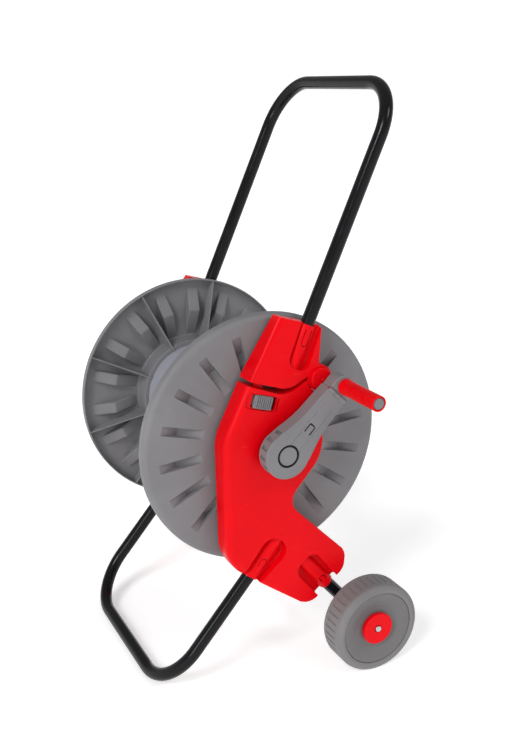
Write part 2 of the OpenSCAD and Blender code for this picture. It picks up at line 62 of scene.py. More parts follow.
def middle(node):
    """The X and Z of a node's middle about the reel axis."""
    low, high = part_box(node)
    return (low[0] + high[0]) / 2 / MM, ((low[2] + high[2]) / 2 - REEL_Z) / MM


FRAME_IN, FRAME_OUT = reach("side_frame_far")[0], reach("bracket_far")[1]
COVER_IN = reach("frame_cover_far")[0]
HINGE = middle("hinge_pin_far")
AXLE = middle("axle_rod")
TUBE_Y = 170
TUBE_BORE_R = 10.05
SLEEVE_R = 12.2
LUG_R = 19
LUG_ROOM_R = LUG_R + 1
HUB_SEAT_R = 24
PIN_BORE_R = 4.05
THROUGH = (FRAME_IN - 1, FRAME_OUT + 1)
THROUGH_COVER = (COVER_IN - 1, FRAME_IN + 1)
WELD = 0.01 * MM


# ---------------------------------------------------------------- modelling helpers

def at(x, y, z):
    """A place in the frame from millimetres about the reel axis."""
    return Vector((x * MM, y * MM, REEL_Z + z * MM))


def seen(co):
    """The millimetres about the reel axis of a place in the frame."""
    return Vector((co[0] / MM, co[1] / MM, (co[2] - REEL_Z) / MM))


def only(*objects):
    """Selects these objects and nothing else; the first is active."""
    bpy.ops.object.select_all(action="DESELECT")
    for obj in objects:
        obj.select_set(True)
    bpy.context.view_layer.objects.active = objects[0]


def edit(obj, kind="FACE", test=None, sharp=None):
    """Opens obj in edit mode with its faces, edges or vertices selected: all, or those that pass the test.

    The test gets a face's middle and normal, an edge's two ends or a vertex's place. With sharp, only edges
    that turn by more than that many degrees are tested.
    """
    only(obj)
    bpy.ops.object.mode_set(mode="EDIT")
    bpy.ops.mesh.select_mode(type=kind)
    bpy.ops.mesh.select_all(action="SELECT" if test is None else "DESELECT")
    if test is None:
        return
    if sharp:
        bpy.ops.mesh.edges_select_sharp(sharpness=math.radians(sharp))
    bpy.ops.object.mode_set(mode="OBJECT")
    mesh = obj.data
    if kind == "FACE":
        for face in mesh.polygons:
            face.select = test(seen(face.center), face.normal)
    elif kind == "EDGE":
        turning = [edge.select or not sharp for edge in mesh.edges]
        mesh.polygons.foreach_set("select", [False] * len(mesh.polygons))
        mesh.vertices.foreach_set("select", [False] * len(mesh.vertices))
        for edge, turns in zip(mesh.edges, turning):
            a, b = (seen(mesh.vertices[i].co) for i in edge.vertices)
            edge.select = turns and test(a, b)
    else:
        for vertex in mesh.vertices:
            vertex.select = test(seen(vertex.co))
    bpy.ops.object.mode_set(mode="EDIT")


def done():
    """Leaves edit mode."""
    bpy.ops.object.mode_set(mode="OBJECT")


def settle(obj, name):
    """Puts a new primitive's place into its mesh, so that its object sits at the origin."""
    only(obj)
    bpy.ops.object.transform_apply(location=True, rotation=True, scale=True)
    obj.name = name
    return obj


def outward(obj):
    """Merges doubles, closes slivers left open and turns the faces outwards."""
    edit(obj)
    bpy.ops.mesh.remove_doubles(threshold=WELD)
    bpy.ops.mesh.fill_holes(sides=12)
    bpy.ops.mesh.normals_make_consistent(inside=False)
    done()


def outline(name, corners, spot, bends=6):
    """One flat face. Corners are [a, b, radius]; spot puts a and b in the frame."""
    places = [spot(corner[0], corner[1]) for corner in corners]
    bpy.ops.object.select_all(action="DESELECT")
    bpy.ops.mesh.primitive_plane_add(size=MM, location=places[0])
    obj = settle(bpy.context.object, name)
    edit(obj, "VERT")
    bpy.ops.mesh.merge(type="CENTER")
    for before, after in zip(places, places[1:]):
        bpy.ops.mesh.extrude_region_move(TRANSFORM_OT_translate={"value": after - before})
    bpy.ops.mesh.select_all(action="SELECT")
    bpy.ops.mesh.edge_face_add()
    done()
    for i, corner in enumerate(corners):
        if len(corner) > 2 and corner[2] > 0:
            here = places[i]
            back = places[i - 1] - here
            on = places[(i + 1) % len(places)] - here
            offset = corner[2] * MM / math.tan(back.angle(on) / 2)
            edit(obj, "VERT", lambda co: (co - seen(here)).length < 0.02)
            bpy.ops.mesh.bevel(offset_type="OFFSET", offset=offset, segments=bends, profile=0.5,
                               affect="VERTICES")
            done()
    return obj


def four(a0, b0, a1, b1, first=0, second=0):
    """The corners of a rectangle; first and second are the corner radii at a0 and at a1."""
    return [[a0, b0, first], [a1, b0, second], [a1, b1, second], [a0, b1, first]]


def push(obj, x=0, y=0, z=0, test=None):
    """Extrudes faces of obj, or all of a flat outline, by millimetres along the axes."""
    edit(obj, "FACE", test)
    bpy.ops.mesh.extrude_region_move(TRANSFORM_OT_translate={"value": (x * MM, y * MM, z * MM)})
    done()
    if test is None:
        outward(obj)
    return obj


def plate(name, corners, y0, y1, bends=6, line=None):
    """An outline across Y made y1 - y0 thick; line turns its corners into X and Z first."""
    place = line or (lambda a, b: (a, b))
    return push(outline(name, corners, lambda a, b: at(place(a, b)[0], y0, place(a, b)[1]), bends), y=y1 - y0)


def bar(name, r, length, place, rotation, sides):
    """A round bar in any direction, used to cut or to build up a piece."""
    bpy.ops.object.select_all(action="DESELECT")
    bpy.ops.mesh.primitive_cylinder_add(vertices=sides, radius=r * MM, depth=length * MM,
                                        location=place, rotation=rotation)
    return settle(bpy.context.object, name)


def rod(name, r, y0, y1, x=0, z=0, sides=64):
    """A round bar along Y."""
    return bar(name, r, y1 - y0, at(x, (y0 + y1) / 2, z), (math.pi / 2, 0, 0), sides)


def turned(name, profile, x=0, z=0, steps=96, bends=4, start=0, angle=360):
    """A shape turned about a Y axis: its profile is [radius, y, corner radius]."""
    obj = outline(name, profile, lambda r, y: at(x + r, y, z), bends)
    if start:
        obj.matrix_world = turn(start, x, z)
        settle(obj, name)
    edit(obj)
    if angle == 360:
        bpy.ops.mesh.delete(type="ONLY_FACE")
        done()
        edit(obj, "EDGE", lambda a, b: abs(a.x - x) < 0.005 and abs(b.x - x) < 0.005)
        bpy.ops.mesh.delete(type="EDGE")
        bpy.ops.mesh.select_all(action="SELECT")
    bpy.ops.mesh.spin(steps=steps, angle=math.radians(angle), center=at(x, 0, z), axis=(0, 1, 0))
    done()
    outward(obj)
    return obj


def turn(angle, x=0, z=0):
    """The matrix that turns a piece about a Y axis, from +X towards +Z."""
    centre = Matrix.Translation(at(x, 0, z))
    return centre @ Matrix.Rotation(math.radians(-angle), 4, "Y") @ centre.inverted()


def copy(obj, matrix, name=None):
    """A copy with its own mesh, moved by a matrix that goes into the mesh."""
    only(obj)
    bpy.ops.object.duplicate(linked=False)
    twin = bpy.context.object
    twin.matrix_world = matrix
    return settle(twin, name or obj.name)


def join(*objects):
    """Joins the objects into the first."""
    only(*objects)
    bpy.ops.object.join()
    return objects[0]


def spread(obj, matrices):
    """One object of several copies of obj, each moved by its matrix."""
    whole = join(*[copy(obj, matrix) for matrix in matrices])
    bpy.data.objects.remove(obj)
    return whole


def combine(obj, tool, operation):
    """Applies an exact boolean of obj and tool."""
    only(obj)
    modifier = obj.modifiers.new(operation.lower(), "BOOLEAN")
    modifier.operation = operation
    modifier.solver = "EXACT"
    modifier.object = tool
    bpy.ops.object.modifier_apply(modifier=modifier.name)
    edit(obj)
    bpy.ops.mesh.remove_doubles(threshold=WELD)
    done()


def cut(obj, *tools):
    """Cuts the tools out of obj and removes them."""
    for tool in tools:
        combine(obj, tool, "DIFFERENCE")
        bpy.data.objects.remove(tool)
    return obj


def build_up(obj, *tools):
    """Adds the tools to obj as one closed shape."""
    for tool in tools:
        combine(obj, tool, "UNION")
        bpy.data.objects.remove(tool)
    return obj


def round_edges(obj, radius, segments, test, sharp=25):
    """Rounds the sharp edges of obj whose two ends pass the test."""
    edit(obj, "EDGE", test, sharp)
    bpy.ops.mesh.bevel(offset_type="OFFSET", offset=radius * MM, segments=segments, profile=0.5,
                       affect="EDGES", clamp_overlap=False)
    done()
    return obj


def shade(obj, angle=32):
    """Smooth shading that keeps flat faces flat and sharp edges sharp."""
    only(obj)
    bpy.ops.object.shade_smooth_by_angle(angle=math.radians(angle))
    modifier = obj.modifiers.new("flat faces", "WEIGHTED_NORMAL")
    modifier.keep_sharp = True
    modifier.weight = 80
    bpy.ops.object.modifier_apply(modifier=modifier.name)


def use(obj, node, material, angle=32):
    """Makes obj the finished piece of a node: same body, the node itself hidden."""
    outward(obj)
    shade(obj, angle)
    obj.name = node + "_finished"
    obj.data.name = obj.name
    obj.data.materials.clear()
    obj.data.materials.append(material)
    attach(obj, BODY[node])
    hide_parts(node)


NEAR = Matrix.Scale(-1, 4, (0, 1, 0))


def near_only(obj, node, material, angle=32):
    """A piece that the cart has on its near side only."""
    obj.matrix_world = NEAR
    settle(obj, obj.name)
    use(obj, node, material, angle)


def both_sides(obj, node, material, angle=32):
    """The far piece and its mirror image on the near side."""
    near_only(copy(obj, Matrix()), node + "_near", material, angle)
    use(obj, node + "_far", material, angle)


# ---------------------------------------------------------------- finishes

def add(tree, kind, settings=None, **sockets):
    """A shader node with its settings; a socket is a value or another node's output."""
    made = tree.nodes.new("ShaderNode" + kind)
    for key, value in (settings or {}).items():
        setattr(made, key, value)
    for key, value in sockets.items():
        socket = made.inputs[key.replace("_", " ")]
        if isinstance(value, bpy.types.NodeSocket):
            tree.links.new(value, socket)
        else:
            socket.default_value = value
    return made


def noise(tree, where, scale, detail=3.0, rough=0.55, distortion=0.0):
    """A noise pattern, 0 to 1."""
    return add(tree, "TexNoise", Vector=where, Scale=scale, Detail=detail, Roughness=rough,
               Distortion=distortion).outputs["Fac"]


def spread_over(tree, value, low, high, to_low, to_high):
    """Maps low..high of a value to to_low..to_high, and stops at both ends."""
    made = tree.nodes.new("ShaderNodeMapRange")
    tree.links.new(value, made.inputs["Value"])
    for key, number in zip(("From Min", "From Max", "To Min", "To Max"), (low, high, to_low, to_high)):
        made.inputs[key].default_value = number
    return made.outputs["Result"]


def reckon(tree, operation, a, b, kind="Math", clamp=False):
    """Two outputs multiplied, added or otherwise put together."""
    made = tree.nodes.new("ShaderNode" + kind)
    made.operation = operation
    if clamp:
        made.use_clamp = True
    tree.links.new(a, made.inputs[0])
    tree.links.new(b, made.inputs[1])
    return made.outputs["Value"]


def mixed(tree, amount, first, second):
    """A colour between two others; each is a colour or an output."""
    made = tree.nodes.new("ShaderNodeMix")
    made.data_type = "RGBA"
    tree.links.new(amount, made.inputs["Factor"])
    for socket, value in ((made.inputs[6], first), (made.inputs[7], second)):
        if isinstance(value, bpy.types.NodeSocket):
            tree.links.new(value, socket)
        else:
            socket.default_value = value
    return made.outputs[2]


def shade_of(colour, factor):
    """A colour made darker or lighter, with its alpha."""
    return tuple(min(1.0, part * factor) for part in colour) + (1.0,)


def finish_of(name, colour, rough, uneven, grain, grain_depth, wave_depth, worn, wear, metallic=0.0, coat=0.0,
              shine=0.3):
    """A material with drifting tone, moulding grain, soft waves in the surface, rubbed edges and fine scuffs.

    colour is the base, rough its roughness, shine its mirror share, uneven how far the tone drifts, grain the
    grains per metre, grain_depth and wave_depth the heights in metres, worn the colour of rubbed edges and
    wear their share.
    """
    material = bpy.data.materials.new(name)
    material.use_nodes = True
    tree = material.node_tree
    shader = tree.nodes["Principled BSDF"]
    shader.inputs["Metallic"].default_value = metallic
    shader.inputs["Specular IOR Level"].default_value = shine
    shader.inputs["Coat Weight"].default_value = coat
    shader.inputs["Coat Roughness"].default_value = 0.12
    place = add(tree, "TexCoord").outputs["Object"]

    drift = spread_over(tree, noise(tree, place, 9.0, 4.0), 0.35, 0.65, 0.0, 1.0)
    tone = mixed(tree, drift, shade_of(colour, 1 - uneven), shade_of(colour, 1 + uneven))
    speck = spread_over(tree, noise(tree, place, grain * 0.5, 2.0), 0.45, 0.75, 0.0, uneven)
    tone = mixed(tree, speck, tone, shade_of(colour, 0.7))

    stretched = add(tree, "Mapping", Vector=place, Scale=(14.0, 150.0, 60.0), Rotation=(0.3, 0.5, 0.2))
    strokes = noise(tree, stretched.outputs["Vector"], 3.0, 5.0, 0.6, 0.4)
    patches = spread_over(tree, noise(tree, place, 22.0, 3.0), 0.52, 0.68, 0.0, 1.0)
    scuffs = reckon(tree, "MULTIPLY", spread_over(tree, strokes, 0.62, 0.7, 0.0, 0.35), patches)
    tone = mixed(tree, scuffs, tone, worn + (1.0,))

    rounded = add(tree, "Bevel", {"samples": 4}, Radius=0.0012)
    flat = add(tree, "NewGeometry").outputs["Normal"]
    agree = reckon(tree, "DOT_PRODUCT", rounded.outputs["Normal"], flat, "VectorMath")
    edge = spread_over(tree, agree, 0.99, 0.82, 0.0, wear)
    broken = spread_over(tree, noise(tree, place, 90.0, 4.0), 0.4, 0.62, 0.15, 1.0)
    rubbed = reckon(tree, "MULTIPLY", edge, broken)
    tone = mixed(tree, rubbed, tone, worn + (1.0,))
    tree.links.new(tone, shader.inputs["Base Color"])

    smear = noise(tree, place, 35.0, 4.0)
    gloss = spread_over(tree, smear, 0.35, 0.68, rough - 0.06, rough + 0.09)
    dull = reckon(tree, "ADD", gloss, reckon(tree, "MULTIPLY", scuffs, smear), clamp=True)
    tree.links.new(dull, shader.inputs["Roughness"])

    waves = add(tree, "Bump", Height=noise(tree, place, 45.0, 2.0), Distance=wave_depth, Strength=1.0)
    grains = add(tree, "Bump", Height=noise(tree, place, grain, 3.0), Distance=grain_depth, Strength=1.0,
                 Normal=waves.outputs["Normal"])
    tree.links.new(grains.outputs["Normal"], shader.inputs["Normal"])
    return material


RED = finish_of("red_plastic", (0.68, 0.0, 0.004), 0.36, 0.05, 900.0, 0.000012, 0.00012,
                (0.85, 0.06, 0.06), 0.3, shine=0.1)
GREY = finish_of("grey_plastic", (0.172, 0.17, 0.178), 0.5, 0.07, 1100.0, 0.00002, 0.0001,
                 (0.36, 0.36, 0.37), 0.4)
DARK = finish_of("dark_plastic", (0.135, 0.133, 0.136), 0.52, 0.07, 1100.0, 0.00002, 0.0001,
                 (0.3, 0.3, 0.3), 0.35)
BLACK = finish_of("black_plastic", (0.005, 0.005, 0.006), 0.5, 0.1, 1000.0, 0.000015, 0.0001,
                  (0.03, 0.03, 0.03), 0.3, shine=0.12)
PAINT = finish_of("black_paint", (0.006, 0.006, 0.007), 0.16, 0.15, 500.0, 0.000006, 0.00006,
                  (0.03, 0.03, 0.03), 0.3, coat=0.1, shine=0.12)
STEEL = finish_of("bright_steel", (0.5, 0.5, 0.5), 0.34, 0.08, 1400.0, 0.00001, 0.00004,
                  (0.68, 0.68, 0.68), 0.4, metallic=1.0)
TYRE = finish_of("tyre_grey", (0.17, 0.166, 0.17), 0.58, 0.07, 1300.0, 0.00003, 0.00008,
                 (0.3, 0.3, 0.3), 0.35)
PALE = finish_of("drum_grey", (0.27, 0.275, 0.32), 0.45, 0.06, 1100.0, 0.00002, 0.0001,
                 (0.4, 0.4, 0.42), 0.3)
RUBBER = finish_of("seal_rubber", (0.015, 0.015, 0.015), 0.7, 0.1, 1200.0, 0.00003, 0.00005,
                   (0.06, 0.06, 0.06), 0.3)

FINISHES = {"red_plastic": RED, "grey_plastic": GREY, "dark_plastic": DARK, "black_plastic": BLACK,
            "black_steel": PAINT, "bright_steel": STEEL, "tyre_grey": TYRE, "seal_rubber": RUBBER}
for part in RECORD["subparts"]:
    carried = frame["nodes"][part["node"]].data.materials
    carried.clear()
    carried.append(FINISHES[part["material_slot"]])


# ---------------------------------------------------------------- side frames and handle brackets

# Outlines about the reel axis: [x, z, corner radius]
FRAME_CORNERS = [
    [-46.5, 99.5], [-84, 20, 70], [-79, -172, 60], [58, -269, 24], [119, -219, 20], [121, -190, 22],
    [18, -89, 25], [82, -16, 60], [62, 70, 10], [52, 98, 6], [15, 76.5, 35],
]
BRACKET_CORNERS = [[9, 190], [-44, 106], [18, 85.5, 35], [54, 104.5, 4], [66, 112, 4], [75, 171, 7]]
# Sockets: where the tube starts, its lean in degrees, the pocket about the tube's line, the sleeve's reach,
# the bore's end and the tongue along that line, and whether the sleeve stands out of the pocket as a stub
STAND_SOCKET = dict(root=(-176, -363), lean=40.3, sleeve=(160, 300), bore=272, tongue=(232, 248), stub=False,
                    pocket=[[-17, 174], [9, 174], [26, 284, 21], [-23, 284, 21]])
LEG_SOCKET = dict(root=AXLE, lean=-41.6, sleeve=(76, 160), bore=138, tongue=(89, 101), stub=True,
                  pocket=[[-24, 70], [18, 70], [21, 149, 16.5], [-23, 149, 16.5]])
HANDLE_SOCKET = dict(root=(198, 502), lean=203.6, sleeve=(358, 430), bore=414, tongue=(364, 390), stub=True,
                     pocket=[[-19, 318], [14, 318], [15, 423, 14], [-20, 423, 14]])
POCKET_FLOOR = 172
OUTER_ROUND = 12
RECESS_DEPTH = 3
LATCH = (-23, 73)
LATCH_TILT = math.radians(16)


def on_tube(socket):
    """Turns a place across and along a socket's tube into X and Z."""
    lean = math.radians(socket["lean"])
    x0, z0 = socket["root"]
    return lambda u, v: (x0 + u * math.cos(lean) + v * math.sin(lean),
                         z0 - u * math.sin(lean) + v * math.cos(lean))


def on_latch(a, b):
    """Turns a place along and across the latch into X and Z."""
    return (LATCH[0] + a * math.cos(LATCH_TILT) + b * math.sin(LATCH_TILT),
            LATCH[1] - a * math.sin(LATCH_TILT) + b * math.cos(LATCH_TILT))


def tube_core(name, socket, r, span, sides=48):
    """A straight round bar on a socket's tube line."""
    lean = math.radians(socket["lean"])
    x, z = on_tube(socket)(0, sum(span) / 2)
    return bar(name, r, span[1] - span[0], at(x, TUBE_Y, z), (0, lean, 0), sides)


def slit(name, u0, u1, v0, v1, width, r, y0, y1, line):
    """A U-shaped slit, closed at v1, that frees a tongue."""
    inner = r - width
    corners = [[u0, v0], [u0, v1, r], [u1, v1, r], [u1, v0], [u1 - width, v0],
               [u1 - width, v1 - width, inner], [u0 + width, v1 - width, inner], [u0 + width, v0]]
    return plate(name, corners, y0, y1, 5, line)


def add_socket(body, socket):
    """Sinks a pocket into the outer face, leaves the sleeve across it and slits its tongue."""
    pocket = plate("pocket", socket["pocket"], POCKET_FLOOR, FRAME_OUT + 6, 6, on_tube(socket))
    round_edges(pocket, 3, 3, lambda a, b: max(a.y, b.y) < POCKET_FLOOR + 0.1, 60)
    sleeve = tube_core("sleeve", socket, SLEEVE_R, socket["sleeve"])
    if socket["stub"]:
        round_edges(sleeve, 2.5, 3, lambda a, b: True, 60)
        build_up(cut(body, pocket), sleeve)
    else:
        cut(body, cut(pocket, sleeve))
    cut(body, tube_core("bore", socket, TUBE_BORE_R, (socket["sleeve"][0] - 40, socket["bore"])))
    low, high = socket["tongue"]
    cut(body, slit("tongue slit", -5.2, 5.2, low, high, 1.4, 5, TUBE_Y + 6, TUBE_Y + 30, on_tube(socket)))


def latch_tongue(name, r0, r1, y0, y1, start, angle):
    """A hook that runs round the hinge, so it leaves its slot as the handle folds."""
    return turned(name, four(r0, y0, r1, y1), *HINGE, 12, 1, start, angle)


def make_side_frame():
    """The outer shell: rounded rim, two tube sockets, the latch's recess and the hinge lug."""
    body = plate("side frame", FRAME_CORNERS, FRAME_IN, FRAME_OUT, 10)
    outer = FRAME_OUT - 0.1

    def on_rim(a, b):
        return a.y > outer and b.y > outer

    round_edges(body, OUTER_ROUND, 9, lambda a, b: on_rim(a, b) and a.x + b.x < -84)
    round_edges(body, 2.5, 4, lambda a, b: on_rim(a, b) and a.x + b.x > -5
                and not (a.z > 71 and b.z > 71 and a.x + b.x < 120))
    add_socket(body, STAND_SOCKET)
    add_socket(body, LEG_SOCKET)

    recess = plate("latch recess", four(-26.5, -12, 20.9, 10.6, 4.5, 1.5),
                   FRAME_OUT - RECESS_DEPTH, FRAME_OUT + 4, 5, on_latch)
    round_edges(recess, 1.2, 3, lambda a, b: max(a.y, b.y) < FRAME_OUT - 2.9, 60)
    window = plate("latch window", four(-17, -9.2, 20.5, 9.2, 1, 1), FRAME_OUT - 12, FRAME_OUT, 3, on_latch)
    groove = plate("latch groove", four(22.4, -10.5, 25, 9.5), FRAME_OUT - RECESS_DEPTH, FRAME_OUT + 4, 1,
                   on_latch)
    chamber = plate("foot chamber", four(-18.5, -9.2, 24.5, 9.2), FRAME_OUT - 11.6, FRAME_OUT - 5.8, 1,
                    on_latch)
    cut(body, recess, window, groove, chamber,
        plate("catch room", four(-11.2, 65.3, 0.8, 77), 165, FRAME_OUT - 11))
    cut(body, latch_tongue("tongue slot", 82, 100, 164.5, 171.5, 165, 42))
    cut(body, rod("hub seat", HUB_SEAT_R, *THROUGH), rod("lug room", LUG_ROOM_R, *THROUGH, *HINGE))
    lug_span = (FRAME_IN + 3.4, 171.8)
    lug = rod("hinge lug", LUG_R, *lug_span, *HINGE)
    build_up(lug, plate("lug web", [[40, 70], [60, 72], [66, 84], [52, 94], [40, 88]], *lug_span))
    build_up(body, lug)
    cut(body, rod("pin bore", PIN_BORE_R, *THROUGH, *HINGE, 32))
    both_sides(body, "side_frame", RED)


def make_bracket():
    """The handle's bracket: a face that slopes in towards the top, a tube socket, a hinge lug and a hook."""
    body = plate("bracket", BRACKET_CORNERS, FRAME_IN, FRAME_OUT, 8)
    edit(body)
    slope = math.radians(5.7)
    slope_z = 110
    bpy.ops.mesh.bisect(plane_co=at(0, FRAME_OUT, slope_z), plane_no=(0, math.cos(slope), math.sin(slope)),
                        use_fill=True, clear_outer=True)
    done()

    def face_y(z):
        return FRAME_OUT - max(0, z - slope_z) * math.tan(slope)

    def on_rim(a, b):
        return a.y > face_y(a.z) - 0.1 and b.y > face_y(b.z) - 0.1

    def along_left(a, b):
        return a.x + b.x < 2 and a.z + b.z > 216 and abs(a.z - b.z) > 0.5

    round_edges(body, OUTER_ROUND, 9, lambda a, b: on_rim(a, b) and along_left(a, b))
    round_edges(body, 3, 4, lambda a, b: on_rim(a, b) and a.x + b.x > 134 and max(a.z, b.z) < 180)
    add_socket(body, HANDLE_SOCKET)
    lug_in = 172.2
    cut(body, rod("lug room", LUG_ROOM_R, FRAME_IN - 1, lug_in, *HINGE))
    build_up(body, rod("lug", LUG_R, lug_in, FRAME_OUT, *HINGE))
    build_up(body, latch_tongue("hook", 84, 98, 166, 170, 169, 33))
    cut(body, plate("hook notch", four(-15, 67, -3, 77), 165, 171))
    cut(body, rod("pin bore", PIN_BORE_R, *THROUGH, *HINGE, 32))
    both_sides(body, "bracket", RED)


def make_covers():
    """The flat inner covers of frames and brackets, each with its holes."""
    inner = COVER_IN + 0.1
    for node, corners in (("frame_cover", FRAME_CORNERS), ("bracket_cover", BRACKET_CORNERS)):
        body = plate(node, corners, COVER_IN, FRAME_IN, 8)
        if node == "frame_cover":
            cut(body, rod("hub hole", HUB_SEAT_R, *THROUGH_COVER))
        cut(body, rod("lug room", LUG_ROOM_R, *THROUGH_COVER, *HINGE))
        round_edges(body, 0.8, 2, lambda a, b: a.y < inner and b.y < inner, 50)
        both_sides(body, node, RED)


def make_hinge_pins():
    """The pin and its flat round head, dimpled in the middle."""
    head = FRAME_OUT + 6
    body = turned("hinge pin", [
        [0, FRAME_IN - 1], [4, FRAME_IN - 1, 0.6], [4, FRAME_OUT], [16, FRAME_OUT, 0.8], [16, head, 1.6],
        [2.6, head, 0.6], [1.8, head - 1.2, 0.5], [0, head - 1.2],
    ], *HINGE, 64)
    both_sides(body, "hinge_pin", RED)


def make_latch_sliders():
    """The ridged button with the foot that holds the hook."""
    button = plate("button", four(-14.5, -9.75, 14.5, 9.75, 2.5, 2.5), FRAME_OUT - 2.6, FRAME_OUT + 1.6, 5,
                   on_latch)
    round_edges(button, 0.8, 2, lambda a, b: min(a.y, b.y) > FRAME_OUT + 1.5, 50)
    pitch = 3.3
    for i in range(-4, 4):
        ridge = plate("ridge", four(pitch * i + 0.9, -8.6, pitch * i + 2.5, 8.6),
                      FRAME_OUT + 0.8, FRAME_OUT + 3.4, 1, on_latch)
        round_edges(ridge, 0.5, 2, lambda a, b: min(a.y, b.y) > FRAME_OUT + 3.3, 50)
        build_up(button, ridge)
    for name, length, height, y0, y1 in (("stem", 28, 8, FRAME_OUT - 7, FRAME_OUT - 2),
                                         ("foot", 34, 15, FRAME_OUT - 11, FRAME_OUT - 6.4)):
        half, side = length / 2, height / 2
        build_up(button, plate(name, four(-half, -side, half, side), y0, y1, 1, on_latch))
    build_up(button, plate("catch", four(-10.2, 68, -6.2, 76), 166, FRAME_OUT - 10))
    both_sides(button, "latch_slider", GREY)


# ---------------------------------------------------------------- reel

POCKETS = 18
POCKET_STEP = 360 / POCKETS
FIRST_POCKET = 6
FIRST_FIN = 36
CREST_R = 136.5
COLLAR_Y = 112
FLANGE_R = (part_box("flange_far")[1][0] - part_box("flange_far")[0][0]) / 2 / MM
FLANGE_OUT = reach("flange_far")[1]
FLANGE_WALL = 2.5
RIM_DEPTH = 16
DRUM_R = 84


def radial_block(name, profile, width):
    """A block that lies along +X from the reel axis: its profile is [radius, y], its width along Z."""
    return push(outline(name, profile, lambda r, y: at(r, y, -width / 2), 3), z=width)


def make_flanges():
    """The pan with its turned rim and collar, pockets pressed into the face, fins on the drum side."""
    back = FLANGE_OUT - FLANGE_WALL
    body = turned("flange", [
        [20, FLANGE_OUT], [FLANGE_R, FLANGE_OUT, 9], [FLANGE_R, FLANGE_OUT - RIM_DEPTH, 0.8],
        [FLANGE_R - FLANGE_WALL, FLANGE_OUT - RIM_DEPTH, 0.8], [FLANGE_R - FLANGE_WALL, back, 6.5],
        [91, back, 2], [91, COLLAR_Y, 0.9], [DRUM_R + 0.1, COLLAR_Y, 0.5], [DRUM_R + 0.1, back], [20, back],
    ], steps=144, bends=8)
    bump = radial_block("pocket back", [[94, back + 0.2], [CREST_R, back - 14.5], [173, back + 0.2]], 19)
    round_edges(bump, 2.2, 3, lambda a, b: min(a.y, b.y) < back - 0.1, 30)
    turns = [turn(FIRST_POCKET + POCKET_STEP * i) for i in range(POCKETS)]
    fin = radial_block("fin", [
        [DRUM_R + 0.6, back + 1], [DRUM_R + 0.6, 108.5], [100, 112.5],
        [FLANGE_R - 1.5, FLANGE_OUT - RIM_DEPTH + 1],
        [FLANGE_R - 3, FLANGE_OUT - 9], [FLANGE_R - 8, back + 1],
    ], 1.8)
    round_edges(fin, 0.5, 2, lambda a, b: max(a.y, b.y) < FLANGE_OUT - 12 and abs(a.z - b.z) < 0.01, 30)
    fins = [turn(FIRST_FIN + 2 * POCKET_STEP * i) for i in range(POCKETS // 2)]
    build_up(body, spread(bump, turns), spread(fin, fins))
    pocket = radial_block("pocket", [
        [94.5, FLANGE_OUT + 2], [CREST_R, FLANGE_OUT - 12.5], [171, FLANGE_OUT + 2],
    ], 14)
    cut(body, spread(pocket, turns))

    def on_pocket_rim(a, b):
        return min(a.y, b.y) > FLANGE_OUT - 0.02 and 60 < math.hypot(a.x, a.z) < 172

    round_edges(body, 0.35, 2, on_pocket_rim, 40)
    both_sides(body, "flange", GREY, 14)


def make_drum():
    """The drum: a plain tube with a shallow joint line round its middle and the hole for the spout."""
    end = 140
    bore_r = DRUM_R - 2.5
    body = turned("drum", [
        [bore_r, -end], [DRUM_R, -end, 0.6], [DRUM_R, -1.2, 0.3], [DRUM_R - 0.8, -0.6],
        [DRUM_R - 0.8, 0.6], [DRUM_R, 1.2, 0.3], [DRUM_R, end, 0.6], [bore_r, end],
    ], steps=128)
    lean = math.radians(250)
    cut(body, bar("spout hole", 13, 60, at(80 * math.cos(lean), 96, 80 * math.sin(lean)),
                  (0, math.pi / 2 - lean, 0), 48))
    use(body, "drum", PALE)


# ---------------------------------------------------------------- screws

def make_screws():
    """Pan-head screws with a cross recess: one model, copied to every spot."""
    def screw(head_y, tip_y):
        side = 1 if tip_y > head_y else -1
        body = turned("screw", [
            [0, tip_y], [1.95, tip_y - side * 1.5], [1.95, head_y], [3.6, head_y, 0.3],
            [3.6, head_y - side * 1.6, 0.9], [0, head_y - side * 1.6],
        ], steps=32)
        y0, y1 = sorted((head_y - side * 3, head_y - side * 0.6))
        for wide, tall in ((0.45, 2.1), (2.1, 0.45)):
            cut(body, plate("cross", four(-wide, -tall, wide, tall), y0, y1))
        return body

    ring = [math.radians(a) for a in (45, 135, 225, 315)]
    groups = (
        ("frame_screws", COVER_IN, 168, [(-60, 50), (-62, -130), (28, -228), (95, -195)]),
        ("bracket_screws", COVER_IN, 168, [(-6, 140), (6, 171)]),
        ("flange_screws", FLANGE_OUT, 142, [(33 * math.cos(a), 33 * math.sin(a)) for a in ring]),
    )
    for node, head_y, tip_y, spots in groups:
        one = screw(head_y, tip_y)
        places = [Matrix.Translation((x * MM, 0, z * MM)) for x, z in spots]
        use(spread(one, places + [NEAR @ place for place in places]), node, STEEL)


# ---------------------------------------------------------------- crank

CRANK_ANGLE = math.radians(45.6)
CRANK_IN, CRANK_OUT = 197, 220
CRANK_REACH = 127
HUB_R = 34.5
ARM_END = 111
ARM_HALF = 18.5
FOLD_Y = CRANK_OUT - 2.5
FOLD_PIN_R = 2.55
KNUCKLE_R = 4
FOLD_ROOM_R = KNUCKLE_R + 0.4
GRIP_BASE = CRANK_OUT + 2
RIBS = 40
GRIP_TIP = -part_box("crank_grip")[0][1] / MM


def on_crank(a, b):
    """Turns a place along and across the crank into X and Z."""
    return (a * math.cos(CRANK_ANGLE) - b * math.sin(CRANK_ANGLE),
            a * math.sin(CRANK_ANGLE) + b * math.cos(CRANK_ANGLE))


def fold_bar(name, r, width, sides=32):
    """A round bar across the crank on its fold axis."""
    x, z = on_crank(ARM_END, 0)
    return bar(name, r, width, at(x, FOLD_Y, z), (0, -CRANK_ANGLE, 0), sides)


